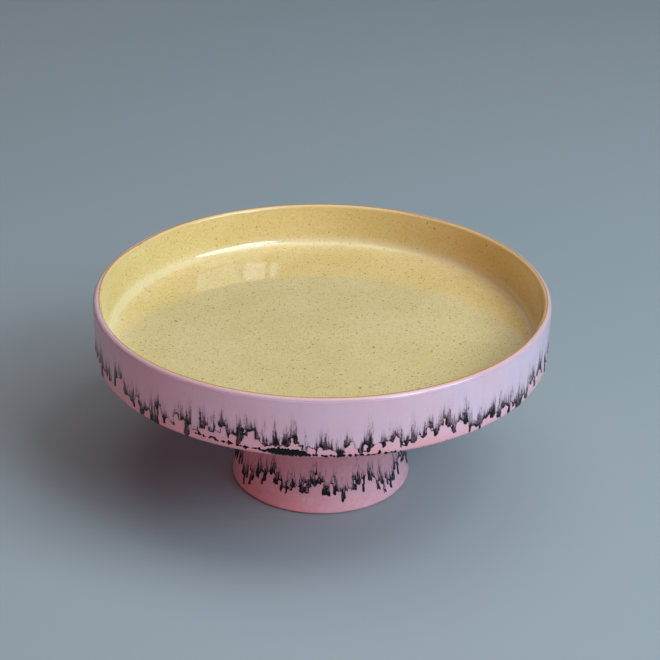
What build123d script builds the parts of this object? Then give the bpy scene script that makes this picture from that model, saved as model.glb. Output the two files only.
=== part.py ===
from build123d import *

import os
import random
from math import cos, radians, sin

# A footed cake stand in glazed stoneware: a shallow upright dish on a hollow flared
# foot. Millimetres. It rests on z = 0 and turns about the Z axis, its natural centre.

# Driving dimensions of the finished, glazed stand.
outer_radius = 120.0
total_height = 109.2
dish_underside_z = 77.4
dish_floor_z = 85.8
foot_base_radius = 49.2

# Glaze coats.
base_coat = 0.45
over_coat = 0.35
full_coat = base_coat + over_coat

# Clay of the dish.
clay_radius = outer_radius - full_coat
clay_top_z = total_height - full_coat
clay_floor_z = dish_floor_z - full_coat
clay_under_z = dish_underside_z + base_coat
crest_radius = 1.3
inner_wall_lean = 7.0
lower_corner_radius = 1.4
floor_corner_radius = 5.8
crest_z = clay_top_z - crest_radius
crest_centre_radius = clay_radius - crest_radius

# Clay of the foot: its wall follows one wide arc that is narrowest at the waist.
foot_wall = 5.0
waist_z = 60.0
flare_radius = 260.0
flare_run = flare_radius - (flare_radius**2 - waist_z**2) ** 0.5
waist_radius = foot_base_radius - base_coat - flare_run
foot_ring_rounding = 1.4

# Slip that welds the foot under the dish, smoothed into a cove on each side.
slip_layer = 0.8
cove_radius = 4.0
foot_top_z = clay_under_z - slip_layer
seam_radius = waist_radius + cove_radius + 2.0

# Where one glaze ends and the next begins.
rim_line_z = crest_z + 0.75
bare_ring_z = 0.7
mid_floor_z = (clay_under_z + clay_floor_z) / 2

# Runs of the over-glaze. Its front hangs in drapes: how many round the stand, how deep,
# and the angle of one that hangs highest. Each row of lobes or thin runs is drawn by
# chance from its own seed, with its tips measured from the drapes' middle height.
dish_front_z = 91.0
dish_drapes = [(8, 1.3, 250.5), (21, 1.2, 265.8)]
dish_lobes = dict(count=46, seed=3, tips=(84.6, 88.6), widths=(17.0, 27.0))
dish_runs = dict(count=112, seed=11, tips=(81.6, 85.6), widths=(1.8, 3.8))
foot_front_z = 24.0
foot_drapes = [(10, 3.4, 266.0), (3, 1.3, 262.0)]
foot_lobes = dict(count=26, seed=6, tips=(11.5, 16.0), widths=(12.0, 19.0))
foot_runs = dict(count=64, seed=17, tips=(8.0, 12.5), widths=(1.6, 3.0))
run_head = 4.0

# Dark glaze pooled in broken stretches just over the lower corner of the dish. Each
# stretch has its first and last angle about Z in degrees, then the height of its middle.
edge_coat = 0.3
edge_stretches = [
    (237.0, 247.0, 80.0),
    (247.0, 257.0, 79.7),
    (268.0, 289.0, 79.2),
    (20.0, 47.0, 78.9),
    (118.0, 158.0, 78.9),
]
edge_step = 4.4
edge_widths = (0.5, 1.2)
edge_blotch = (258.0, 266.8)
edge_blotch_z = 79.8
edge_blotch_width = 2.6


def dish_clay_section():
    """Half section of the dish: flat floor, upright wall and a round crest."""
    with BuildSketch(Plane.XZ) as section:
        with BuildLine():
            under = Line((0, clay_under_z), (clay_radius, clay_under_z))
            wall = Line(under @ 1, (clay_radius, crest_z))
            crest = CenterArc((crest_centre_radius, crest_z), crest_radius, 0, 180 - inner_wall_lean)
            drop = (crest @ 1).Y - clay_floor_z
            inner_wall = PolarLine(
                crest @ 1,
                drop,
                angle=270 - inner_wall_lean,
                length_mode=LengthMode.VERTICAL,
            )
            floor = Line(inner_wall @ 1, (0, clay_floor_z))
            Line(floor @ 1, under @ 0)
        make_face()
        lower_corner = section.vertices().sort_by_distance(wall @ 0)[0]
        fillet(lower_corner, radius=lower_corner_radius)
        floor_corner = section.vertices().sort_by_distance(floor @ 0)[0]
        fillet(floor_corner, radius=floor_corner_radius)
    return section.sketch_local


def foot_clay_section():
    """Half section of the foot: a wall between two arcs on a rounded standing ring."""
    height = foot_top_z
    with BuildSketch(Plane.XZ) as section:
        with Locations((waist_radius + flare_radius, waist_z)):
            Circle(flare_radius + foot_wall)
            Circle(flare_radius, mode=Mode.SUBTRACT)
        with Locations((waist_radius, height / 2)):
            Rectangle(2 * foot_wall + 4 * flare_run, height, mode=Mode.INTERSECT)
        standing_corners = section.vertices().group_by(Axis.Y)[0]
        fillet(standing_corners, radius=foot_ring_rounding)
    return section.sketch_local


def slip_clay_section(foot):
    """Half section of the slip: a thin layer with a cove inside and outside the foot."""
    top_corners = foot.vertices().group_by(Axis.Y)[-1].sort_by(Axis.X)
    inner, outer = top_corners[0].X, top_corners[-1].X
    low_z = clay_under_z - cove_radius
    with BuildSketch(Plane.XZ) as section:
        with Locations(((inner + outer) / 2, clay_under_z - cove_radius / 2)):
            Rectangle(outer - inner + 2 * cove_radius, cove_radius)
        with Locations((inner - cove_radius, low_z), (outer + cove_radius, low_z)):
            Circle(cove_radius, mode=Mode.SUBTRACT)
        add(foot, mode=Mode.SUBTRACT)
    return section.sketch_local


def turned(section):
    """The solid that a half section sweeps in one full turn about the Z axis."""
    with BuildPart() as solid:
        with BuildSketch(Plane.XZ):
            add(section)
        revolve(axis=Axis.Z)
    return solid.part


dish_section = dish_clay_section()
foot_section = foot_clay_section()
slip_section = slip_clay_section(foot_section)

with BuildSketch(Plane.XZ) as clay_builder:
    add(dish_section)
    add(foot_section)
    add(slip_section)
clay_section = clay_builder.sketch_local.clean()


def coat_section(inside, outside, zone):
    """Half section of a glaze coat between two offsets of the clay, cut to a zone."""
    with BuildSketch(Plane.XZ) as section:
        offset(clay_section.faces(), amount=outside)
        if inside > 0:
            offset(clay_section.faces(), amount=inside, mode=Mode.SUBTRACT)
        else:
            add(clay_section, mode=Mode.SUBTRACT)
        Polygon(*zone, align=None, mode=Mode.INTERSECT)
    return section.sketch_local


# Zones of the half section, as corners in (radius, height).
far_radius = outer_radius + 5
top_z = total_height + 5
dish_well_zone = [
    (0, mid_floor_z),
    (crest_centre_radius, mid_floor_z),
    (crest_centre_radius, rim_line_z),
    (0, rim_line_z),
]
rim_zone = [
    (crest_centre_radius - 5, rim_line_z),
    (far_radius, rim_line_z),
    (far_radius, top_z),
    (crest_centre_radius - 5, top_z),
]
dish_outside_zone = [
    (seam_radius, clay_under_z - 5),
    (far_radius, clay_under_z - 5),
    (far_radius, rim_line_z),
    (crest_centre_radius, rim_line_z),
    (crest_centre_radius, mid_floor_z),
    (seam_radius, mid_floor_z),
]
foot_core_bottom = (foot_base_radius - 3.5, bare_ring_z)
foot_core_top = (waist_radius - 3.0, mid_floor_z)
foot_outside_zone = [
    foot_core_bottom,
    (foot_base_radius + 5, bare_ring_z),
    (foot_base_radius + 5, foot_front_z),
    (seam_radius, clay_under_z - 5),
    (seam_radius, mid_floor_z),
    foot_core_top,
]
foot_hollow_zone = [
    (0, bare_ring_z),
    foot_core_bottom,
    foot_core_top,
    (0, mid_floor_z),
]


def hang(angle, drapes):
    """How far above their middle height the drapes hang at an angle in degrees."""
    return sum(depth * cos(radians(count * (angle - top))) for count, depth, top in drapes)


def chance_runs(drapes, count, seed, tips, widths):
    """Turn angle in degrees, tip height and width of each run in one row."""
    chance = random.Random(seed)
    runs = []
    for step in range(count):
        angle = (step + chance.uniform(-0.35, 0.35)) * 360 / count
        tip_z = chance.uniform(*tips) + hang(angle, drapes)
        width = chance.uniform(*widths)
        runs.append((angle, tip_z, width))
    return runs


def run_cutters(rows, head_z, from_radius, to_radius):
    """Tongues seen square on from the axis, pushed outwards through the glaze."""
    with BuildPart() as cutters:
        for angle, tip_z, width in rows:
            outward = Vector(cos(radians(angle)), sin(radians(angle)), 0)
            along = Vector(-sin(radians(angle)), cos(radians(angle)), 0)
            middle_z = tip_z + width / 2
            with BuildSketch(Plane(outward * from_radius, x_dir=along, z_dir=outward)):
                with Locations((0, middle_z)):
                    Circle(width / 2)
                if middle_z < head_z:
                    with Locations((0, (middle_z + head_z) / 2)):
                        Rectangle(width, head_z - middle_z)
        extrude(amount=to_radius - from_radius)
    return cutters.part


def over_glaze(zone, front_z, drapes, lobes, runs, from_radius, to_radius):
    """A ring of over-glaze whose lower edge has run down in lobes and tongues."""
    rows = chance_runs(drapes, **lobes) + chance_runs(drapes, **runs)
    low_z = min(tip_z for angle, tip_z, width in rows) - 1
    with BuildSketch(Plane.XZ) as low_box:
        Polygon(
            (0, low_z),
            (far_radius, low_z),
            (far_radius, front_z + run_head),
            (0, front_z + run_head),
            align=None,
        )
    with BuildSketch(Plane.XZ) as run_sketch:
        add(coat_section(base_coat, full_coat, zone))
        add(low_box.sketch_local, mode=Mode.INTERSECT)
    run_shell = turned(run_sketch.sketch_local)
    with BuildSketch(Plane.XZ) as ring_sketch:
        add(coat_section(base_coat, full_coat, zone))
        with Locations((far_radius / 2, front_z / 2)):
            Rectangle(far_radius, front_z, mode=Mode.SUBTRACT)
    ring = turned(ring_sketch.sketch_local)
    cutters = run_cutters(rows, front_z + run_head / 2, from_radius, to_radius)
    with BuildPart() as coat:
        add(run_shell)
        add(cutters, mode=Mode.INTERSECT)
        add(ring)
    return coat.part


def edge_bead_section(middle_z, width):
    """Half section of a low band of pooled glaze on the dish's first coat."""
    low_z, high_z = middle_z - width / 2, middle_z + width / 2
    zone = [
        (crest_centre_radius, low_z),
        (far_radius, low_z),
        (far_radius, high_z),
        (crest_centre_radius, high_z),
    ]
    return coat_section(base_coat, base_coat + edge_coat, zone)


def edge_line():
    """Short beads of dark glaze along each stretch, and one long blotch between two."""
    chance = random.Random(23)
    beads = [(*edge_blotch, edge_blotch_z, edge_blotch_width)]
    for first, last, middle_z in edge_stretches:
        for step in range(int((last - first) / edge_step)):
            start = first + step * edge_step
            span = chance.uniform(0.45, 0.85) * edge_step
            beads.append((start, start + span, middle_z, chance.uniform(*edge_widths)))
    with BuildPart() as line:
        for start, end, middle_z, width in beads:
            turn = radians(start)
            outward = (cos(turn), sin(turn), 0)
            across = (sin(turn), -cos(turn), 0)
            with BuildSketch(Plane((0, 0, 0), x_dir=outward, z_dir=across)):
                add(edge_bead_section(middle_z, width))
            revolve(axis=Axis.Z, revolution_arc=end - start)
    return line.part


def finish(part, label):
    """Label one piece of the stand and write it to its own file."""
    part.label = label
    export_step(part, f"parts/{label}.step")


os.makedirs("parts", exist_ok=True)

# Fired clay.
finish(turned(dish_section), "dish_body")
finish(turned(foot_section), "foot_body")
finish(turned(slip_section), "joint_slip")

# Glaze coats laid straight on the clay.
finish(turned(coat_section(0, full_coat, dish_well_zone)), "dish_glaze_inside")
finish(turned(coat_section(0, full_coat, rim_zone)), "rim_glaze")
finish(turned(coat_section(0, base_coat, dish_outside_zone)), "dish_glaze_outside")
finish(turned(coat_section(0, base_coat, foot_outside_zone)), "foot_glaze_outside")
finish(turned(coat_section(0, base_coat, foot_hollow_zone)), "foot_glaze_inside")

# Over-glaze, run down over the first coat, and the dark glaze pooled at the dish's edge.
dish_over_glaze = over_glaze(
    dish_outside_zone,
    dish_front_z,
    dish_drapes,
    dish_lobes,
    dish_runs,
    from_radius=outer_radius - 5,
    to_radius=outer_radius + 5,
)
finish(dish_over_glaze, "dish_over_glaze")
foot_over_glaze = over_glaze(
    foot_outside_zone,
    foot_front_z,
    foot_drapes,
    foot_lobes,
    foot_runs,
    from_radius=waist_radius - 5,
    to_radius=foot_base_radius + 5,
)
finish(foot_over_glaze, "foot_over_glaze")
finish(edge_line(), "dish_edge_line")
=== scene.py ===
import random

import bmesh
import bpy
import numpy as np
from mathutils import Matrix, Vector


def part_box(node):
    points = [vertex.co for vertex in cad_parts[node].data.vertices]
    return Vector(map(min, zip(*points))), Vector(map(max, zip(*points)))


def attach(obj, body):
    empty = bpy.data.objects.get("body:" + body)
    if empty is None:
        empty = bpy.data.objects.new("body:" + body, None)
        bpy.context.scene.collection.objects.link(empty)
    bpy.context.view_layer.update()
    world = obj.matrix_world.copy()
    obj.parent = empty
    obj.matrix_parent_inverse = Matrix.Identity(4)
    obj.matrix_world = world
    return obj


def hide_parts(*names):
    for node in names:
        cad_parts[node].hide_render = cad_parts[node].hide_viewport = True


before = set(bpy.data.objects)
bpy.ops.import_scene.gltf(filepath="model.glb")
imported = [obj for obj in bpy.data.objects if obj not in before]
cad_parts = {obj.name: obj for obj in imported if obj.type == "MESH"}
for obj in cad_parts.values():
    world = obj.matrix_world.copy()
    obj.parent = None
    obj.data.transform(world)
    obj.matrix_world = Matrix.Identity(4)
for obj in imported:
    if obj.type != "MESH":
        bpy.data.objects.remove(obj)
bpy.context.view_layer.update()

# A footed cake stand in glazed stoneware, looks only. Shapes are worked out in
# millimetres and angles about Z, and go into Blender in metres.
MM = 0.001


def reach(node):
    """Outer radius of a CAD node, in millimetres."""
    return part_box(node)[1].x / MM


def low(node):
    """Height of a CAD node's lowest point, in millimetres."""
    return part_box(node)[0].z / MM


def high(node):
    """Height of a CAD node's highest point, in millimetres."""
    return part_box(node)[1].z / MM


# ---------------------------------------------------------------- clay and coats

clay_radius = reach("dish_body")
clay_under_z = low("dish_body")
clay_floor_z = low("dish_glaze_inside")
base_coat = reach("dish_glaze_outside") - clay_radius
# Both coats together, a hair thinner than the CAD's, so that nothing leaves its box.
full_coat = 0.79
over_coat = full_coat - base_coat
# Coats are thinner by this, which leaves room for their unevenness.
coat_ease = 0.03
# Height over the clay of a coat's back.
coat_back = 0.02
crest_radius = 1.3
crest_z = high("dish_body") - crest_radius
crest_centre = (clay_radius - crest_radius, crest_z)
inner_wall_lean = np.radians(7.0)
lower_corner_radius = 1.4
floor_corner_radius = 5.8
rim_line_angle = np.radians(20.9)

foot_wall = 5.0
waist_z = 60.0
flare_radius = 260.0
foot_edge_radius = reach("foot_body")
foot_rounding = 1.4
bare_ring_turn = np.radians(30.0)
cove_radius = 4.0
seam_radius = 47.7


def line(start, end, step):
    """Stations from one point to another: radius, height and the outward normal."""
    run, rise = end[0] - start[0], end[1] - start[1]
    length = np.hypot(run, rise)
    share = np.linspace(0, 1, max(2, int(length / step) + 2))
    stations = np.empty((len(share), 4))
    stations[:, 0] = start[0] + run * share
    stations[:, 1] = start[1] + rise * share
    stations[:, 2] = -rise / length
    stations[:, 3] = run / length
    return stations


def arc(centre, radius, first, last, step):
    """Stations round an arc between two angles. Turning clockwise, the arc is convex."""
    length = abs(last - first) * radius
    angles = np.linspace(first, last, max(2, int(length / step) + 2))
    side = -1.0 if last > first else 1.0
    stations = np.empty((len(angles), 4))
    stations[:, 0] = centre[0] + radius * np.cos(angles)
    stations[:, 1] = centre[1] + radius * np.sin(angles)
    stations[:, 2] = side * np.cos(angles)
    stations[:, 3] = side * np.sin(angles)
    return stations


def join(*parts):
    """One run of stations, without the doubled ones where two parts meet."""
    return np.vstack([parts[0]] + [part[1:] for part in parts[1:]])


def raised(stations, thickness):
    """Radius and height of each station, lifted off the clay along its normal."""
    return np.column_stack(
        (stations[:, 0] + thickness * stations[:, 2], stations[:, 1] + thickness * stations[:, 3])
    )


# Clay of the dish, going from the middle of the floor over the rim to the foot.
wall_lean_end = np.pi - inner_wall_lean
floor_corner_z = clay_floor_z + floor_corner_radius
crest_inner = (
    crest_centre[0] + crest_radius * np.cos(wall_lean_end),
    crest_z + crest_radius * np.sin(wall_lean_end),
)
wall_foot = (
    crest_inner[0] - (crest_inner[1] - floor_corner_z) * np.tan(inner_wall_lean),
    floor_corner_z,
)
floor_corner = (wall_foot[0] - floor_corner_radius / np.cos(inner_wall_lean), floor_corner_z)
lower_corner = (clay_radius - lower_corner_radius, clay_under_z + lower_corner_radius)

# Clay of the foot: a hollow flare whose wall lies between two arcs about one centre.
toe_reach = flare_radius + foot_rounding
toe_drop = waist_z - foot_rounding
flare_centre = (foot_edge_radius - foot_rounding + (toe_reach**2 - toe_drop**2) ** 0.5, waist_z)
cove_z = clay_under_z - cove_radius


def beside_flare(radius, height):
    """Centre of a small circle at a height that touches an arc about the flare centre."""
    across = (radius**2 - (waist_z - height) ** 2) ** 0.5
    return (flare_centre[0] - across, height)


def angle_to(point, centre):
    """Angle of a point seen from a centre, from 0 to a full turn."""
    return np.arctan2(point[1] - centre[1], point[0] - centre[0]) % (2 * np.pi)


outer_cove = beside_flare(flare_radius - cove_radius, cove_z)
outer_toe = beside_flare(flare_radius + foot_rounding, foot_rounding)
inner_toe = beside_flare(flare_radius + foot_wall - foot_rounding, foot_rounding)
inner_cove = beside_flare(flare_radius + foot_wall + cove_radius, cove_z)
cove_turn = angle_to(outer_cove, flare_centre)
toe_turn = angle_to(outer_toe, flare_centre)
inner_toe_turn = angle_to(inner_toe, flare_centre)
inner_cove_turn = angle_to(inner_cove, flare_centre)


def inside_stations(step):
    """Floor, round corner and leaning wall, up to where the rim glaze starts."""
    return join(
        line((0, clay_floor_z), (floor_corner[0], clay_floor_z), step),
        arc(floor_corner, floor_corner_radius, -np.pi / 2, -inner_wall_lean, step / 3),
        line(
            (
                floor_corner[0] + floor_corner_radius * np.cos(inner_wall_lean),
                floor_corner_z - floor_corner_radius * np.sin(inner_wall_lean),
            ),
            crest_inner,
            step,
        ),
        arc(crest_centre, crest_radius, wall_lean_end, np.pi - rim_line_angle, 0.1),
    )


def rim_stations(step):
    """Over the crest, between the inner and the outer rim line."""
    return arc(crest_centre, crest_radius, np.pi - rim_line_angle, rim_line_angle, step)


def outside_stations(step):
    """Crest's edge, upright wall, lower corner and underside, up to the seam."""
    return join(
        arc(crest_centre, crest_radius, rim_line_angle, 0, 0.1),
        line((clay_radius, crest_z), (clay_radius, lower_corner[1]), step),
        arc(lower_corner, lower_corner_radius, 0, -np.pi / 2, min(step, 0.3)),
        line((lower_corner[0], clay_under_z), (seam_radius, clay_under_z), 4.0),
    )


def foot_stations(step):
    """Seam, cove and flare, down to the bare standing ring."""
    return join(
        line((seam_radius, clay_under_z), (outer_cove[0], clay_under_z), 0.8),
        arc(outer_cove, cove_radius, np.pi / 2, cove_turn, 0.4),
        arc(flare_centre, flare_radius, cove_turn, toe_turn, step),
        arc(outer_toe, foot_rounding, toe_turn - np.pi, -bare_ring_turn, 0.2),
    )


def hollow_stations(step):
    """Inside of the foot, from the bare ring up to the middle of its ceiling."""
    return join(
        arc(inner_toe, foot_rounding, bare_ring_turn - np.pi, inner_toe_turn - 2 * np.pi, 0.2),
        arc(flare_centre, flare_radius + foot_wall, inner_toe_turn, inner_cove_turn, step),
        arc(inner_cove, cove_radius, inner_cove_turn - np.pi, np.pi / 2, 0.4),
        line((inner_cove[0], clay_under_z), (0, clay_under_z), step),
    )


# ---------------------------------------------------------------- meshes


def turned_points(profile, angles):
    """A grid of points: each (radius, height) of a profile at each angle about Z."""
    radius, height = profile[:, 0], profile[:, 1]
    grid = np.empty((len(radius), len(angles), 3))
    grid[:, :, 0] = radius[:, None] * np.cos(angles)
    grid[:, :, 1] = radius[:, None] * np.sin(angles)
    grid[:, :, 2] = height[:, None]
    return grid


def ring_quads(rows, columns):
    """Quads of a grid of points that closes round the axis and along its rows."""
    index = np.arange(rows * columns).reshape(rows, columns)
    right = np.roll(index, -1, axis=1)
    below = np.roll(index, -1, axis=0)
    below_right = np.roll(right, -1, axis=0)
    return np.stack((index, below, below_right, right), axis=-1).reshape(-1, 4)


def make_piece(name, points, quads, attributes=None):
    """A smooth shaded mesh object from points in millimetres."""
    mesh = bpy.data.meshes.new(name)
    mesh.vertices.add(len(points))
    mesh.vertices.foreach_set("co", (points * MM).astype(np.float32).ravel())
    mesh.loops.add(quads.size)
    mesh.loops.foreach_set("vertex_index", quads.astype(np.int32).ravel())
    mesh.polygons.add(len(quads))
    mesh.polygons.foreach_set("loop_start", np.arange(0, quads.size, 4, dtype=np.int32))
    mesh.update(calc_edges=True)
    for key, values in (attributes or {}).items():
        layer = mesh.attributes.new(key, "FLOAT", "POINT")
        layer.data.foreach_set("value", values.astype(np.float32).ravel())
    mesh.validate()
    mesh.shade_smooth()
    piece = bpy.data.objects.new(name, mesh)
    bpy.context.scene.collection.objects.link(piece)
    return piece


def weld(piece):
    """Joins points that lie together, as on the axis."""
    work = bmesh.new()
    work.from_mesh(piece.data)
    bmesh.ops.remove_doubles(work, verts=work.verts, dist=0.001 * MM)
    work.to_mesh(piece.data)
    work.free()
    piece.data.shade_smooth()


def waves(angles, heights, seed, count, size, turns, rise):
    """Seamless soft unevenness: a sum of waves round and up the stand.

    turns is the range of each wave's crests round the stand, and rise the least
    height in which a wave climbs by one radian.
    """
    chance = random.Random(seed)
    total = np.zeros(np.broadcast(angles, heights).shape)
    for _ in range(count):
        turn_count = chance.randint(*turns)
        climb = chance.uniform(-1, 1) / rise
        start = chance.uniform(0, 2 * np.pi)
        total += np.sin(turn_count * angles + climb * heights + start)
    return size * total / count**0.5


def tapered(stations, thickness, run, at_start=False, at_end=False):
    """A coat's thickness, rounded off to nothing over the run at the chosen ends."""
    steps = np.r_[0, np.cumsum(np.hypot(*np.diff(stations[:, :2], axis=0).T))]
    fade = np.ones(len(stations))
    if at_start:
        fade *= np.sqrt(1 - (1 - np.clip(steps / run, 0, 1)) ** 2)
    if at_end:
        fade *= np.sqrt(1 - (1 - np.clip((steps[-1] - steps) / run, 0, 1)) ** 2)
    return thickness * fade


def coat_piece(name, stations, front, columns, seed, calm=1.0):
    """A closed ring or disc of glaze whose front lies a height over the clay, a little uneven.

    The unevenness dies away between the still radius and the axis.
    """
    still_radius = 60.0
    angles = np.arange(columns) * 2 * np.pi / columns
    along = np.cumsum(np.hypot(*np.diff(stations[:, :2], axis=0, prepend=stations[:1, :2]).T))
    dents = waves(angles[None, :], along[:, None], seed, count=9, size=0.016, turns=(2, 13), rise=7.0)
    uneven = calm * dents * np.clip(stations[:, :1] / still_radius, 0, 1) ** 2
    thickness = np.broadcast_to(front, (len(stations),))[:, None] - coat_ease + uneven
    outward = turned_points(stations[:, 2:4], angles)
    front_grid = turned_points(stations, angles) + outward * thickness[:, :, None]
    every_third = np.unique(np.r_[0:len(stations):3, len(stations) - 1])[::-1]
    back_grid = turned_points(raised(stations[every_third], coat_back), angles)
    grid = np.concatenate((front_grid, back_grid))
    piece = make_piece(name, grid.reshape(-1, 3), ring_quads(len(grid), columns))
    weld(piece)
    return piece


# ---------------------------------------------------------------- runs of glaze

# The lower edge of an over-glaze hangs in drapes round the stand. Each drape has its count,
# its depth and the angle of one of its tops.
dish_drapes = [(8, 1.3, 250.5), (21, 1.2, 265.8)]
foot_drapes = [(10, 3.4, 266.0), (3, 1.3, 262.0)]

# Radii at which lengths round the stand are measured, and middle heights of the lower edges.
dish_radius = 120.0
foot_radius = 49.0
dish_edge_z = 83.6
foot_edge_z = 15.0

# Height to which ink and streaks rise over the lower edge, and spread beside a run.
ink_rise = 3.2
streak_rise = 7.0
ink_spread = 0.5
streak_spread = 1.3
# Outlines of runs melt together over this distance, and a run counts up to this far aside.
melt = 0.30
run_span = 9.0
# No field value is taken further than this from the outline.
far = 12

# A coat's edge rounds up over this width, behind it lies a swollen lip, and below the
# crest the coat is thick again.
edge_rounding = 0.7
lip_place = 0.9
crest_fade = 6.0
# Share of the over-glaze's thickness where it is neither lip nor crest.
thin_share = 0.70
# The back of an over-glaze lies this deep in the coat under it, and its front is lower by
# the ease, which leaves room for its unevenness.
over_sink = 0.06
over_ease = 0.02
# A run is no longer than this.
longest_run = 30.0


def turn_between(angles, middle):
    """Angles from a middle one, from minus to plus half a turn."""
    return (angles - middle + np.pi) % (2 * np.pi) - np.pi


def hang(angles, drapes):
    """How far above their middle height the drapes hang at angles in radians."""
    return sum(depth * np.cos(count * (angles - np.radians(top))) for count, depth, top in drapes)


def make_bays(count, seed, heights, widths):
    """Pointed bays of bare first coat, drawn by chance: angle, height and half width of each."""
    chance = random.Random(seed)
    turns = [(step + chance.uniform(-0.45, 0.45)) * 2 * np.pi / count for step in range(count)]
    return [(turn, chance.uniform(*heights), chance.uniform(*widths)) for turn in turns]


def front_line(angles, drapes, middle_z, bays, radius, seed):
    """Height of the over-glaze's lower edge between its runs: a hanging line with bays in it."""
    ripple = waves(angles, 0 * angles, seed, count=8, size=0.6, turns=(40, 170), rise=1)
    rise = np.zeros(angles.shape)
    for turn, height, width in bays:
        away = np.abs(turn_between(angles, turn)) * radius
        rise = np.maximum(rise, height * np.clip(1 - away / width, 0, 1) ** 0.3)
    return middle_z + hang(angles, drapes) + ripple + rise


def make_runs(front, count, seed, drops, widths, reaches):
    """Runs drawn by chance: angle, tip, width, slant, darkness and dark length of each."""
    chance = random.Random(seed)
    runs = []
    for step in range(count):
        angle = (step + chance.uniform(-0.48, 0.48)) * 2 * np.pi / count
        runs.append(
            dict(
                angle=angle,
                tip=float(front(np.array([angle]))[0]) - chance.uniform(*drops),
                width=chance.triangular(widths[0], widths[1], widths[0] + 0.3),
                slant=chance.uniform(-0.16, 0.16),
                dark=chance.choice((0.5, 0.85, 1.0, 1.0, 1.0)),
                reach=chance.uniform(*reaches),
            )
        )
    return runs


def run_outline(x, rise, half):
    """Distance outside a run: a round tip under a waist that widens slowly upwards."""
    spine = np.clip(rise, half, longest_run)
    tip_swell = np.exp(-(((spine - half) / (2.2 * half)) ** 2))
    return np.hypot(x, rise - spine) - half * (0.70 + 0.30 * tip_swell + 0.03 * spine)


def run_field(angles, heights, radius, front, runs, seed):
    """Depth inside the over-glaze's outline in millimetres, and its ink and feather.

    Ink gathers at the lower edge and in the runs; feather is how strongly streaks rise above.
    """
    x_warp = waves(angles, heights, seed, count=10, size=0.34, turns=(60, 260), rise=1.3)
    x_warp += waves(angles, heights, seed + 1, count=10, size=0.24, turns=(260, 700), rise=0.5)
    z_warp = waves(angles, heights, seed + 2, count=10, size=0.32, turns=(60, 240), rise=1.5)
    z_warp += waves(angles, heights, seed + 3, count=10, size=0.26, turns=(260, 700), rise=0.7)
    z = heights + z_warp
    over_front = z - front(angles + x_warp / radius)
    patches = waves(angles, 0 * heights, seed + 4, count=8, size=0.45, turns=(24, 110), rise=1)
    gathered = np.clip(0.60 + patches, 0, 1)
    above = np.clip(over_front, 0, None)
    merged = np.exp(np.clip(over_front, -far, far) / melt)
    ink = 0.95 * gathered * np.exp(-((above / ink_rise) ** 1.6))
    feather = gathered * np.exp(-((above / streak_rise) ** 1.5))
    for run in runs:
        turn = turn_between(angles, run["angle"])
        near = (np.abs(turn * radius) < run_span).any(axis=0)
        rise = z[:, near] - run["tip"]
        x = turn[:, near] * radius + x_warp[:, near] - run["slant"] * rise
        outside = run_outline(x, rise, run["width"] / 2)
        merged[:, near] += np.exp(-np.clip(outside, -far, far) / melt)
        up = np.clip(rise, 0, None)
        shade = run["dark"] * np.exp(-((up / run["reach"]) ** 1.45))
        shade *= np.exp(-np.clip(outside, 0, run_span) / ink_spread)
        ink[:, near] = np.maximum(ink[:, near], shade)
        plume = np.exp(-np.abs(x) / streak_spread) * np.exp(-((up / (1.5 * run["reach"])) ** 1.6))
        feather[:, near] = np.maximum(feather[:, near], run["dark"] * plume)
    return melt * np.log(merged), ink, feather


def path_heights(stations, level_z):
    """Height of each station as seen down the path of the coat, falling along the stations.

    It is the true height at level_z, and changes by the distance run from there.
    """
    steps = np.hypot(*np.diff(stations[:, :2], axis=0).T)
    fallen = np.r_[0, np.cumsum(steps)]
    start = np.interp(-level_z, -stations[:, 1], fallen)
    return level_z + start - fallen


def points_over(stations, falling, turn, level, thickness):
    """Points at angles and path heights, at a height over the clay."""
    radius, height, out, up = (np.interp(-level, -falling, stations[:, k]) for k in range(4))
    radius = radius + thickness * out
    return np.stack((radius * np.cos(turn), radius * np.sin(turn), height + thickness * up), -1)


def pull_to_outline(turn, level, levels, depth, radius):
    """Moves the points just outside a field's zero line on to it."""
    columns = turn.shape[1]
    slope_x = (np.roll(depth, -1, 1) - np.roll(depth, 1, 1)) * columns / (4 * np.pi * radius)
    slope_z = np.gradient(depth, axis=0) / np.gradient(levels)[:, None]
    steep = np.maximum(slope_x**2 + slope_z**2, 0.25)
    pull = np.where(depth < 0, -np.clip(depth, -0.6, 0) / steep, 0)
    return turn + pull * slope_x / radius, level + np.clip(pull * slope_z, -0.5, 0.5)


def over_thickness(turn, level, depth, ink, top, base):
    """Height of an over-glaze's front: rounded at its edge, swollen in its inky lip."""
    swell = np.sqrt(1 - (1 - np.clip(depth / edge_rounding, 0, 1)) ** 2)
    lip = np.exp(-(((np.clip(depth, 0, None) - lip_place) / lip_place) ** 2))
    lip = lip * np.clip(ink * 8, 0, 1)
    under_crest = np.exp(-(((top - level) / crest_fade) ** 2))
    body = over_coat * (thin_share + (1 - thin_share) * np.maximum(lip, under_crest))
    soft = waves(turn, level, 77, count=8, size=0.012, turns=(3, 30), rise=4.0)
    return np.minimum(base + (body - over_ease + soft) * swell, full_coat)


def closed_quads(inside):
    """Quads of a front and a back grid where the outline covers them, and a skirt between."""
    rows, columns = inside.shape
    size = rows * columns
    right = np.roll(inside, -1, 1)
    keep = inside[:-1] | inside[1:] | right[1:]
    index = np.arange(size).reshape(rows, columns)
    here, below = index[:-1], index[1:]
    quads = np.stack((here, below, np.roll(below, -1, 1), np.roll(here, -1, 1)), -1)
    front = quads[keep]
    back = front[:, ::-1] + size
    edges = np.stack((front, np.roll(front, -1, axis=1)), -1).reshape(-1, 2)
    first, second = edges.astype(np.int64).T
    border = edges[~np.isin(first * size + second, second * size + first)]
    skirt = np.stack((border[:, 1], border[:, 0], border[:, 0] + size, border[:, 1] + size), -1)
    return np.concatenate((front, back, skirt))


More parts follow.
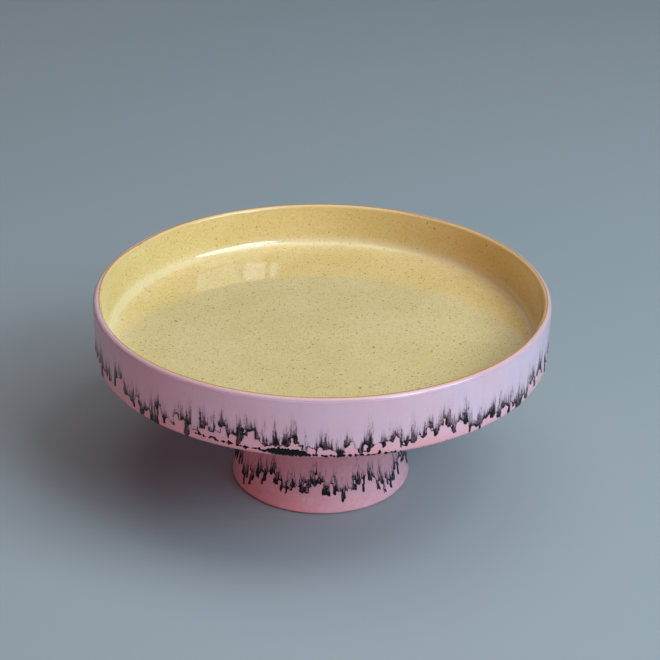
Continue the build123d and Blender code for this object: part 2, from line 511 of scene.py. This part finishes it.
def run_coat(name, stations, levels, level_z, radius, columns, field):
    """A closed coat on the first one, whose lower edge is the zero line of a field.

    levels are the path heights of its rows, falling. At level_z they are true heights.
    """
    falling = path_heights(stations, level_z)
    angles = np.arange(columns) * 2 * np.pi / columns
    turn, level = np.broadcast_arrays(angles[None, :], levels[:, None])
    depth, ink, feather = field(turn, level)
    turn, level = pull_to_outline(turn, level, levels, depth, radius)
    base = base_coat - coat_ease
    thickness = over_thickness(turn, level, depth, ink, levels[0], base)
    front = points_over(stations, falling, turn, level, thickness)
    back = points_over(stations, falling, turn, level, np.full(turn.shape, base - over_sink))
    used, quads = np.unique(closed_quads(depth >= 0), return_inverse=True)
    points = np.concatenate((front.reshape(-1, 3), back.reshape(-1, 3)))[used]
    values = {
        "depth": np.tile(np.clip(depth, 0, 9).ravel(), 2)[used],
        "ink": np.tile(ink.ravel(), 2)[used],
        "feather": np.tile(feather.ravel(), 2)[used],
    }
    return make_piece(name, points, quads.reshape(-1, 4), values)


# ---------------------------------------------------------------- shader helpers


class Look:
    """A material made of nodes, with short calls for the nodes it needs."""

    def __init__(self, name):
        self.material = bpy.data.materials.new(name)
        self.material.use_nodes = True
        self.nodes = self.material.node_tree.nodes
        self.links = self.material.node_tree.links
        self.shader = self.nodes["Principled BSDF"]
        self.object_place = self.node("ShaderNodeTexCoord").outputs["Object"]

    def node(self, kind, **settings):
        made = self.nodes.new(kind)
        for key, value in settings.items():
            setattr(made, key, value)
        return made

    def feed(self, socket, value):
        """Links a socket to another node's output, or sets it to a plain value."""
        if isinstance(value, bpy.types.NodeSocket):
            self.links.new(value, socket)
        else:
            socket.default_value = value

    def math(self, operation, first, second=0.0, clamp=False):
        made = self.node("ShaderNodeMath", operation=operation, use_clamp=clamp)
        self.feed(made.inputs[0], first)
        self.feed(made.inputs[1], second)
        return made.outputs[0]

    def plus(self, first, second):
        return self.math("ADD", first, second)

    def minus(self, first, second):
        return self.math("SUBTRACT", first, second)

    def times(self, first, second):
        return self.math("MULTIPLY", first, second)

    def span(self, value, low_in, high_in, low_out=0.0, high_out=1.0):
        """Smooth step from one range to another."""
        made = self.node("ShaderNodeMapRange", interpolation_type="SMOOTHSTEP")
        for socket, given in zip(made.inputs, (value, low_in, high_in, low_out, high_out)):
            self.feed(socket, given)
        return made.outputs[0]

    def attribute(self, name):
        """A number stored at each point of the mesh."""
        return self.node("ShaderNodeAttribute", attribute_name=name).outputs["Fac"]

    def stretched(self, scale):
        """Object position with each axis scaled."""
        made = self.node("ShaderNodeMapping")
        self.feed(made.inputs["Vector"], self.object_place)
        made.inputs["Scale"].default_value = scale
        return made.outputs[0]

    def noise(self, size_mm, detail=2.0, roughness=0.5, place=None):
        """Noise from 0 to 1 whose blobs are about so many millimetres across."""
        made = self.node("ShaderNodeTexNoise")
        self.feed(made.inputs["Vector"], place or self.object_place)
        made.inputs["Scale"].default_value = 1 / (size_mm * MM)
        made.inputs["Detail"].default_value = detail
        made.inputs["Roughness"].default_value = roughness
        return made.outputs["Fac"]

    def specks(self, cell_mm, radius_mm, share, softness_mm=0.12):
        """Round specks, at most one to a cell, in this share of the cells."""
        made = self.node("ShaderNodeTexVoronoi", feature="F1")
        self.feed(made.inputs["Vector"], self.object_place)
        made.inputs["Scale"].default_value = 1 / (cell_mm * MM)
        pick = self.node("ShaderNodeSeparateColor")
        self.feed(pick.inputs[0], made.outputs["Color"])
        half_radius = 0.5 * radius_mm / cell_mm
        radius = self.times(pick.outputs[1], half_radius)
        radius = self.plus(radius, half_radius)
        edge = self.minus(radius, made.outputs["Distance"])
        spot = self.span(edge, 0.0, softness_mm / cell_mm)
        chosen = self.math("LESS_THAN", pick.outputs[0], share)
        return self.times(spot, chosen)

    def blend(self, factor, first, second):
        """The first colour, and the second where the factor is 1."""
        made = self.node("ShaderNodeMix", data_type="RGBA")
        self.feed(made.inputs[0], factor)
        for socket, colour in ((made.inputs[6], first), (made.inputs[7], second)):
            self.feed(socket, colour if isinstance(colour, bpy.types.NodeSocket) else (*colour, 1.0))
        return made.outputs[2]

    def ramp(self, value, stops):
        """A colour for a value from 0 to 1, between stops in rising order."""
        made = self.node("ShaderNodeValToRGB")
        while len(made.color_ramp.elements) < len(stops):
            made.color_ramp.elements.new(1.0)
        for element, (place, colour) in zip(made.color_ramp.elements, stops):
            element.position = place
            element.color = (*colour, 1.0)
        self.feed(made.inputs[0], value)
        return made.outputs[0]

    def height(self):
        """Height over the table in millimetres."""
        made = self.node("ShaderNodeSeparateXYZ")
        self.feed(made.inputs[0], self.object_place)
        return self.times(made.outputs[2], 1 / MM)

    def finish(self, colour, roughness, dents, dent_mm):
        """Colour, roughness and fine dents into the shader."""
        self.feed(self.shader.inputs["Base Color"], colour)
        self.feed(self.shader.inputs["Roughness"], roughness)
        bump = self.node("ShaderNodeBump")
        bump.inputs["Strength"].default_value = 1.0
        bump.inputs["Distance"].default_value = dent_mm * MM
        self.feed(bump.inputs["Height"], dents)
        self.feed(self.shader.inputs["Normal"], bump.outputs[0])
        return self.material


def srgb(red, green, blue):
    """Linear colour from screen values of 0 to 255."""
    values = [channel / 255 for channel in (red, green, blue)]
    return tuple(v / 12.92 if v <= 0.04045 else ((v + 0.055) / 1.055) ** 2.4 for v in values)


# ---------------------------------------------------------------- materials


def clay_look():
    """Bare fired clay with dark grog in it."""
    look = Look("fired_clay")
    grog = look.noise(0.5, 4.0, 0.7)
    cloud = look.noise(14.0, 3.0, 0.6)
    colour = look.blend(cloud, srgb(168, 140, 112), srgb(196, 170, 140))
    colour = look.blend(look.times(grog, 0.35), colour, srgb(120, 92, 70))
    colour = look.blend(look.specks(2.2, 0.55, 0.5), colour, srgb(84, 58, 44))
    look.shader.inputs["IOR"].default_value = 1.45
    return look.finish(colour, look.span(grog, 0.2, 0.8, 0.72, 0.92), grog, 0.06)


def yellow_colour(look):
    """Straw yellow glaze with a dense scatter of fine golden brown specks.

    Each size of speck has its cell and radius in millimetres, its share of the cells
    and its strength.
    """
    cloud = look.noise(34.0, 3.0, 0.55)
    mottle = look.noise(1.4, 4.0, 0.65)
    colour = look.blend(look.span(cloud, 0.35, 0.65), srgb(217, 189, 127), srgb(224, 195, 138))
    colour = look.blend(look.span(mottle, 0.35, 0.70, 0.0, 0.35), colour, srgb(190, 158, 86))
    for cell, radius, share, strength in (
        (1.0, 0.40, 0.72, 0.50),
        (1.5, 0.52, 0.55, 0.64),
        (3.0, 0.70, 0.45, 0.80),
        (9.0, 1.00, 0.35, 0.90),
    ):
        spot = look.times(look.specks(cell, radius, share, 0.15), strength)
        colour = look.blend(spot, colour, srgb(162, 104, 28))
    return colour


def yellow_look():
    """Glaze of the well: thin at the rim, greener up the wall, and paler in the corner's pool, which
    also carries a painted highlight ring.
    """
    look = Look("yellow_glaze")
    colour = yellow_colour(look)
    wobble = look.noise(5.0, 3.0, 0.6)
    level = look.plus(look.height(), look.times(wobble, 1.2))
    rim_z = high("rim_glaze")
    thin = look.span(level, rim_z - 2.4, rim_z - 1.2, 0.0, 0.6)
    colour = look.blend(thin, colour, srgb(206, 180, 128))
    upright = look.span(level, clay_floor_z + 1.0, clay_floor_z + 9.0, 0.0, 0.25)
    colour = look.blend(upright, colour, srgb(203, 191, 123))
    # Pale cream ring in the floor's round corner: glaze pooled there, and a painted highlight along
    # the corner.
    pooled = look.span(level, clay_floor_z + 1.3, clay_floor_z + 2.4)
    pooled = look.times(pooled, look.span(level, clay_floor_z + 9.0, clay_floor_z + 3.5))
    colour = look.blend(look.times(pooled, 0.45), colour, srgb(230, 213, 176))
    peel = look.noise(2.4, 2.0, 0.5)
    smear = look.noise(20.0, 3.0, 0.6)
    roughness = look.span(smear, 0.3, 0.7, 0.035, 0.06)
    look.shader.inputs["IOR"].default_value = 1.6
    return look.finish(colour, roughness, peel, 0.002)


def lilac_body(look, cool, warm):
    """Lilac glaze with sparse reddish specks, pinker where it is thin at the top of the wall and
    painted darker there as shade.
    """
    cloud = look.noise(26.0, 4.0, 0.6)
    haze = look.noise(2.2, 4.0, 0.65)
    drift = look.noise(3.5, 2.0, 0.5, look.stretched((1.0, 1.0, 0.12)))
    colour = look.blend(look.span(cloud, 0.3, 0.7), cool, warm)
    colour = look.blend(look.span(haze, 0.4, 0.8, 0.0, 0.30), colour, srgb(206, 190, 212))
    colour = look.blend(look.span(drift, 0.5, 0.8, 0.0, 0.12), colour, srgb(168, 148, 176))
    spots = look.specks(5.0, 0.62, 0.35, 0.3)
    colour = look.blend(look.times(spots, 0.6), colour, srgb(150, 84, 104))
    fine = look.specks(2.4, 0.34, 0.40, 0.2)
    colour = look.blend(look.times(fine, 0.35), colour, srgb(160, 110, 134))
    # Darker and pinker just below the crest: thin glaze, and painted shade on the top of the wall.
    thin = look.span(look.height(), crest_z - 0.9, crest_z + 0.6, 0.0, 0.45)
    return look.blend(thin, colour, srgb(190, 152, 170))


def run_tones(look, colour, streak_mm, stain_colour):
    """The dark that pools at the tips of runs and trails off upwards in streaks."""
    depth = look.attribute("depth")
    ink = look.attribute("ink")
    feather = look.attribute("feather")
    stream = look.stretched((1.0, 1.0, 0.09))
    streak = look.minus(look.noise(streak_mm, 3.0, 0.65, stream), 0.5)
    clot = look.minus(look.noise(1.1, 4.0, 0.7), 0.5)

    veil = look.times(feather, look.span(streak, -0.14, 0.12, 0.25, 1.0))
    colour = look.blend(look.span(veil, 0.04, 0.85, 0.0, 0.80), colour, srgb(112, 100, 122))
    thread = look.times(look.span(feather, 0.40, 0.95), look.span(streak, 0.03, 0.20))
    colour = look.blend(look.times(thread, 0.60), colour, srgb(56, 48, 62))

    wet = look.span(ink, 0.03, 0.22)
    stain = look.plus(ink, look.times(streak, 1.7))
    stain = look.plus(stain, look.times(clot, 0.9))
    stain = look.times(look.span(stain, 0.14, 0.72, 0.0, 0.92), wet)
    colour = look.blend(stain, colour, stain_colour)

    patch = look.span(look.noise(6.0, 2.0, 0.5), 0.38, 0.62, -0.34, 0.06)
    pooled = look.plus(ink, look.times(streak, 1.7))
    pooled = look.plus(pooled, look.times(clot, 1.2))
    pooled = look.plus(pooled, patch)
    core = look.times(look.span(pooled, 0.44, 0.84), wet)
    width = look.plus(0.55, look.times(clot, 1.8))
    edge = look.span(look.minus(width, depth), -0.20, 0.20)
    edge = look.times(edge, look.span(ink, 0.10, 0.40))
    black = look.math("MAXIMUM", core, edge, clamp=True)
    return look.blend(black, colour, srgb(2, 6, 9))


def over_glaze_look(name, cool, warm, streak_mm, stain_colour):
    """Second coat: a clouded body with the dark of its runs over it."""
    look = Look(name)
    colour = lilac_body(look, cool, warm)
    colour = run_tones(look, colour, streak_mm, stain_colour)
    peel = look.noise(1.5, 3.0, 0.5)
    gloss = look.noise(9.0, 3.0, 0.6)
    roughness = look.span(gloss, 0.3, 0.7, 0.16, 0.24)
    look.shader.inputs["IOR"].default_value = 1.45
    look.shader.inputs["Specular IOR Level"].default_value = 0.35
    return look.finish(colour, roughness, peel, 0.006)


def rose_look():
    """First coat: salmon rose, paler and cooler where it is thick."""
    look = Look("rose_glaze")
    cloud = look.noise(22.0, 4.0, 0.6)
    haze = look.noise(1.8, 4.0, 0.65)
    colour = look.blend(look.span(cloud, 0.3, 0.7), srgb(222, 158, 166), srgb(214, 168, 186))
    colour = look.blend(look.span(haze, 0.45, 0.8, 0.0, 0.35), colour, srgb(232, 188, 196))
    level = look.plus(look.height(), look.times(cloud, 4.0))
    on_dish = look.span(level, clay_under_z + 3.4, clay_under_z + 8.6)
    on_foot = look.times(look.span(level, 7.0, 17.0), look.span(level, 60.0, 50.0))
    colour = look.blend(look.times(on_dish, 0.75), colour, srgb(214, 178, 196))
    colour = look.blend(look.times(on_foot, 0.50), colour, srgb(208, 170, 190))
    spots = look.specks(3.6, 0.45, 0.4, 0.2)
    colour = look.blend(look.times(spots, 0.5), colour, srgb(176, 96, 104))
    peel = look.noise(1.5, 3.0, 0.5)
    look.shader.inputs["IOR"].default_value = 1.5
    return look.finish(colour, look.span(cloud, 0.3, 0.7, 0.22, 0.32), peel, 0.012)


def rim_look():
    """The crest: yellow thins to cream, breaks in a rust line, then turns to lilac."""
    look = Look("rim_glaze")
    turn = look.attribute("crest_turn")
    spill = look.attribute("spill")
    wobble = look.minus(look.noise(7.0, 3.0, 0.6), 0.5)
    fine = look.minus(look.noise(1.4, 3.0, 0.6), 0.5)
    shift = look.plus(look.times(wobble, 16.0), look.times(fine, 10.0))
    shift = look.minus(shift, look.times(spill, 42.0))
    place = look.math("DIVIDE", look.plus(turn, shift), 180.0, clamp=True)
    # The two outer stops are the pinkish cream of the thin glaze, painted darker as shade on the
    # crest's outer side.
    bands = look.ramp(
        place,
        [
            (0.22, srgb(198, 164, 180)),
            (0.36, srgb(206, 168, 172)),
            (0.445, srgb(216, 172, 144)),
            (0.48, srgb(190, 124, 74)),
            (0.545, srgb(190, 126, 72)),
            (0.61, srgb(216, 186, 136)),
            (0.90, srgb(212, 184, 124)),
        ],
    )
    blots = look.span(look.noise(3.0, 4.0, 0.7), 0.52, 0.64)
    blots = look.times(blots, look.span(spill, 0.2, 0.8))
    blots = look.times(blots, look.span(place, 0.30, 0.45))
    colour = look.blend(look.times(blots, 0.8), bands, srgb(150, 78, 80))
    specks = look.times(look.specks(2.0, 0.4, 0.4), look.span(place, 0.6, 0.7, 0.0, 0.5))
    colour = look.blend(specks, colour, srgb(124, 88, 42))
    peel = look.noise(1.4, 2.0, 0.5)
    look.shader.inputs["IOR"].default_value = 1.5
    return look.finish(colour, look.span(fine, -0.2, 0.2, 0.10, 0.14), peel, 0.003)


def black_look():
    """Glaze pooled so thick that it is nearly black."""
    look = Look("black_glaze")
    clot = look.noise(0.8, 4.0, 0.7)
    stops = [(0.30, srgb(4, 8, 9)), (0.58, srgb(8, 15, 15)), (0.78, srgb(30, 26, 32))]
    colour = look.ramp(clot, stops)
    look.shader.inputs["IOR"].default_value = 1.4
    look.shader.inputs["Specular IOR Level"].default_value = 0.35
    return look.finish(colour, look.span(clot, 0.3, 0.7, 0.16, 0.30), clot, 0.015)


clay = clay_look()
yellow = yellow_look()
rose = rose_look()
rim_material = rim_look()
lilac = over_glaze_look(
    "lilac_glaze",
    cool=srgb(206, 186, 206),
    warm=srgb(210, 180, 196),
    streak_mm=0.75,
    stain_colour=srgb(80, 54, 62),
)
# The foot's glaze is the same lilac as the dish's, painted darker and redder as shade under the dish.
shaded_lilac = over_glaze_look(
    "mauve_glaze",
    cool=srgb(196, 156, 172),
    warm=srgb(200, 150, 162),
    streak_mm=0.60,
    stain_colour=srgb(46, 42, 62),
)
black = black_look()

# ---------------------------------------------------------------- pieces

# The clay pieces are the CAD's own meshes.
for clay_piece in ("dish_body", "foot_body", "joint_slip"):
    cad_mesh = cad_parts[clay_piece].data
    cad_mesh.materials.clear()
    cad_mesh.materials.append(clay)


def dress(piece, material, slot, *nodes):
    """Gives a new piece its material, its place on the frame and the nodes it replaces."""
    piece.data.materials.append(material)
    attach(piece, "root")
    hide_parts(*nodes)


# Points round the stand in a smooth coat, and in a coat with runs.
smooth_columns = 540
run_columns = 1440
# The first coat thins to nothing over this distance beside the bare standing ring.
ring_taper = 1.2
# A height on the upright wall, and one on the foot's flare, from which path heights count.
dish_level_z = 95.0
foot_level_z = 12.0

# Yellow glaze of the well, which pools towards the round corner of the floor.
pool_start_radius = 84.0
pool_top_z = 96.0
pool_fade = 8.0
pool_depth = 0.45
inside_run = inside_stations(step=1.6)
pool = (inside_run[:, 0] - pool_start_radius) / (floor_corner[0] - pool_start_radius)
pool = np.clip(pool, 0, 1) ** 2 * np.clip((pool_top_z - inside_run[:, 1]) / pool_fade, 0, 1)
inside = coat_piece(
    "yellow_inside", inside_run, full_coat + pool_depth * pool, smooth_columns, seed=31, calm=0.25
)
dress(inside, yellow, "yellow_glaze", "dish_glaze_inside")

# Places where the outer glaze spills over the crest: middle and half width in degrees, strength.
rim_spills = ((196, 20, 1.0), (150, 9, 0.5), (60, 8, 0.4), (335, 6, 0.45))


def mark_crest(rim_piece):
    """Stores each point's turn over the crest in degrees, and how much glaze spills there."""
    vertices = rim_piece.data.vertices
    places = np.empty(len(vertices) * 3)
    vertices.foreach_get("co", places)
    x, y, z = places.reshape(-1, 3).T / MM
    crest_turn = np.degrees(np.arctan2(z - crest_z, np.hypot(x, y) - crest_centre[0]))
    around = np.degrees(np.arctan2(y, x)) % 360
    spill = np.zeros(len(vertices))
    for middle_angle, half, strength in rim_spills:
        away = (around - middle_angle + 180) % 360 - 180
        spill = np.maximum(spill, strength * np.exp(-((away / half) ** 2)))
    for key, values in (("crest_turn", crest_turn), ("spill", spill)):
        layer = rim_piece.data.attributes.new(key, "FLOAT", "POINT")
        layer.data.foreach_set("value", values.astype(np.float32))


rim = coat_piece("rim_band", rim_stations(step=0.12), full_coat, 2 * smooth_columns, seed=32)
mark_crest(rim)
dress(rim, rim_material, "rim_glaze", "rim_glaze")

# The rose first coat, on the dish, down the foot and in its hollow.
wall = coat_piece("rose_outside", outside_stations(step=1.2), base_coat, smooth_columns, seed=33)
dress(wall, rose, "rose_glaze", "dish_glaze_outside")

foot_path = foot_stations(step=1.2)
foot_coat = tapered(foot_path, base_coat, ring_taper, at_end=True)
foot = coat_piece("rose_foot", foot_path, foot_coat, smooth_columns // 2, seed=34)
dress(foot, rose, "rose_glaze", "foot_glaze_outside")

hollow_path = hollow_stations(step=2.0)
hollow_coat = tapered(hollow_path, base_coat, ring_taper, at_start=True)
hollow = coat_piece("rose_hollow", hollow_path, hollow_coat, smooth_columns // 2, seed=35)
dress(hollow, rose, "rose_glaze", "foot_glaze_inside")

# The second coats. The dish's longest runs are listed: angle in degrees, tip and width.
dish_long_runs = (
    (200.5, 77.4, 3.4),
    (226.2, 78.0, 2.2),
    (227.9, 76.8, 3.2),
    (316.4, 79.4, 2.4),
    (320.6, 78.4, 2.2),
    (325.4, 77.4, 2.8),
    (329.0, 78.8, 1.8),
)
dish_bays = make_bays(count=80, seed=5, heights=(1.0, 7.6), widths=(0.9, 4.2))
foot_bays = make_bays(count=34, seed=6, heights=(1.0, 4.0), widths=(1.2, 3.0))


def dish_front(angles):
    return front_line(angles, dish_drapes, dish_edge_z, dish_bays, dish_radius, seed=41)


def foot_front(angles):
    return front_line(angles, foot_drapes, foot_edge_z, foot_bays, foot_radius, seed=51)


dish_runs = make_runs(
    dish_front, count=190, seed=11, drops=(0.5, 4.6), widths=(1.4, 3.6), reaches=(4.4, 10.0)
)
for angle, tip, width in dish_long_runs:
    dish_runs.append(
        dict(angle=np.radians(angle), tip=tip, width=width, slant=0.06, dark=1.0, reach=10.0)
    )
foot_runs = make_runs(
    foot_front, count=108, seed=19, drops=(0.8, 8.0), widths=(1.5, 3.2), reaches=(6.0, 10.0)
)


def dish_field(turn, level):
    return run_field(turn, level, dish_radius, dish_front, dish_runs, seed=43)


def foot_field(turn, level):
    return run_field(turn, level, foot_radius, foot_front, foot_runs, seed=53)


# Rows are close together at the crest and from the tops of the streaks down.
dish_levels = np.r_[
    np.linspace(107.56, 106.7, 5),
    np.linspace(105.6, 96.0, 4),
    np.linspace(94.8, 92.8, 3),
    np.arange(92.2, 73.6, -0.44),
]
dish_path = outside_stations(step=0.3)
dish_over = run_coat(
    name="lilac_over",
    stations=dish_path,
    levels=dish_levels,
    level_z=dish_level_z,
    radius=dish_radius,
    columns=run_columns,
    field=dish_field,
)
dress(dish_over, lilac, "lilac_glaze", "dish_over_glaze")

# The foot's lilac coat, its colour painted darker and redder as shade.
foot_levels = np.r_[np.linspace(81.0, 28.0, 26), np.arange(27.4, 2.6, -0.42)]
foot_over = run_coat(
    name="lilac_foot_over",
    stations=foot_stations(step=0.5),
    levels=foot_levels,
    level_z=foot_level_z,
    radius=foot_radius,
    columns=run_columns // 2,
    field=foot_field,
)
dress(foot_over, shaded_lilac, "mauve_glaze", "foot_over_glaze")

# Path of the dark line round the lower corner: heights at angles in degrees, the stretches
# where it shows, and its long blotch.
line_turns = (0, 20, 47, 118, 158, 238, 250, 258, 265, 270, 290, 360)
line_heights = (78.6, 78.8, 78.5, 78.3, 78.5, 81.8, 80.6, 79.9, 79.7, 79.0, 78.5, 78.6)
line_stretches = ((20, 47), (118, 158), (238, 290))
line_fade = 3.0
blotch_turn = 262.3
blotch_half_turn = 4.9


def edge_field(turn, level):
    """A broken line of pooled glaze round the lower corner, with one long blotch."""
    around = np.degrees(turn) % 360
    wander = waves(turn, 0 * level, 61, count=8, size=0.34, turns=(40, 160), rise=1)
    beads = waves(turn, 0 * level, 62, count=12, size=0.62, turns=(90, 420), rise=1)
    ragged = waves(turn, level, 63, count=12, size=0.30, turns=(150, 500), rise=0.8)
    humps = waves(turn, 0 * level, 64, count=8, size=0.42, turns=(70, 240), rise=1)
    shown = np.zeros(turn.shape)
    for first, last in line_stretches:
        from_end = np.minimum(around - first, last - around)
        shown = np.maximum(shown, np.clip(from_end / line_fade, 0, 1))
    blotch = np.clip(1 - ((around - blotch_turn) / blotch_half_turn) ** 2, 0, 1) ** 0.5
    half = (0.42 + 0.8 * beads) * shown - 0.4 * (1 - shown)
    half = np.where(blotch > 0, np.maximum(half, 0.35 + 1.15 * blotch), half)
    offset = level - np.interp(around, line_turns, line_heights) - wander * (1 - blotch)
    humped_top = half + (0.5 + 1.5 * np.abs(humps)) * blotch - offset
    depth = np.minimum(humped_top, half + offset) + ragged
    return depth, np.ones(turn.shape), np.zeros(turn.shape)


edge_levels = np.arange(84.0, 75.8, -0.26)
edge = run_coat(
    name="black_edge",
    stations=dish_path,
    levels=edge_levels,
    level_z=dish_level_z,
    radius=dish_radius,
    columns=run_columns,
    field=edge_field,
)
dress(edge, black, "black_glaze", "dish_edge_line")

# ---------------------------------------------------------------- floor, light, camera


def plain_floor():
    """A wide pale floor that curves up into a low wall behind the stand."""
    half_width = 7.0
    front_y = -7.0
    back_y = 3.0
    wall_height = 2.5
    bend_radius = 1.0
    bend_steps = 12
    rows = [(front_y, 0.0)]
    for step in range(bend_steps + 1):
        turn = step / bend_steps * np.pi / 2
        rows.append(
            (back_y - bend_radius * (1 - np.sin(turn)), bend_radius * (1 - np.cos(turn)))
        )
    rows.append((back_y, wall_height))
    points = [(x, y, z) for y, z in rows for x in (-half_width, half_width)]
    faces = [(2 * k, 2 * k + 1, 2 * k + 3, 2 * k + 2) for k in range(len(rows) - 1)]
    mesh = bpy.data.meshes.new("floor")
    mesh.from_pydata(points, [], faces)
    mesh.shade_smooth()
    floor = bpy.data.objects.new("floor", mesh)
    bpy.context.scene.collection.objects.link(floor)
    look = Look("floor")
    look.shader.inputs["Base Color"].default_value = (*srgb(148, 155, 162), 1.0)
    look.shader.inputs["Roughness"].default_value = 0.6
    mesh.materials.append(look.material)


middle = Vector((0.0, 0.0, 0.09))


def soft_light(name, place, size, power, colour, target=middle, mirrored=True):
    """An area light, which glossy surfaces show only when it is mirrored."""
    lamp = bpy.data.lights.new(name, "AREA")
    lamp.shape = "RECTANGLE"
    lamp.size = size[0]
    lamp.size_y = size[1]
    lamp.energy = power
    lamp.color = colour
    holder = bpy.data.objects.new(name, lamp)
    holder.location = place
    holder.rotation_mode = "QUATERNION"
    holder.rotation_quaternion = (Vector(target) - Vector(place)).to_track_quat("-Z", "Y")
    holder.visible_glossy = mirrored
    bpy.context.scene.collection.objects.link(holder)


def window(turn, lift, distance, height, panes, colour):
    """Panes side by side in one upright frame: each an offset, a width and a radiance."""
    turn = np.radians(turn)
    lift = np.radians(lift)
    outward = Vector((np.cos(lift) * np.cos(turn), np.cos(lift) * np.sin(turn), np.sin(lift)))
    sideways = Vector((-np.sin(turn), np.cos(turn), 0.0))
    for offset, width, radiance in panes:
        place = middle + outward * distance + sideways * offset
        power = radiance * np.pi * width * height
        soft_light("window_pane", place, (width, height), power, colour, target=place - outward)


def front_camera():
    """Looks down on the stand from the front, with a long lens and a slight roll."""
    place = Vector((0.0, -0.786, 0.4788))
    yaw, pitch, roll = np.radians((0.309, -26.598, 0.718))
    forward = Vector((np.sin(yaw) * np.cos(pitch), np.cos(yaw) * np.cos(pitch), np.sin(pitch)))
    level = forward.cross(Vector((0, 0, 1))).normalized()
    up = level.cross(forward)
    right = level * np.cos(roll) + up * np.sin(roll)
    top = up * np.cos(roll) - level * np.sin(roll)
    lens = bpy.data.cameras.new("camera")
    lens.lens = 90.0
    lens.sensor_width = 36.0
    camera = bpy.data.objects.new("camera", lens)
    turn = Matrix((right, top, -forward)).transposed().to_4x4()
    camera.matrix_world = Matrix.Translation(place) @ turn
    bpy.context.scene.collection.objects.link(camera)
    bpy.context.scene.camera = camera


def dim_world():
    """Faint warm light from all round."""
    world = bpy.data.worlds.new("studio")
    world.use_nodes = True
    background = world.node_tree.nodes["Background"]
    background.inputs["Color"].default_value = (0.92, 0.60, 0.54, 1.0)
    background.inputs["Strength"].default_value = 0.08
    bpy.context.scene.world = world


plain_floor()
window(
    turn=-36.0,
    lift=34.0,
    distance=2.05,
    height=0.72,
    panes=((0.40, 0.86, 8.2), (-0.30, 0.40, 15.5), (-0.66, 0.16, 13.5)),
    colour=(0.74, 0.98, 1.08),
)
soft_light("ceiling", (0.0, 0.0, 2.4), (1.7, 1.7), 15.0, (0.92, 1.0, 0.96))
soft_light("skylight", (1.0, -0.5, 1.9), (1.2, 1.0), 19.0, (0.84, 0.98, 1.02))
soft_light("front_glow", (-0.5, -1.7, 0.5), (1.2, 0.8), 7.0, (1.0, 0.28, 0.22), mirrored=False)
soft_light("back_glow", (0.0, 2.7, 1.45), (2.2, 1.0), 1.8, (0.3, 0.7, 1.1))
soft_light("rear_fill", (-1.5, 1.7, 0.55), (1.2, 0.8), 3.0, (0.95, 0.90, 0.96), mirrored=False)
dim_world()
bpy.context.scene.view_settings.view_transform = "Standard"
front_camera()
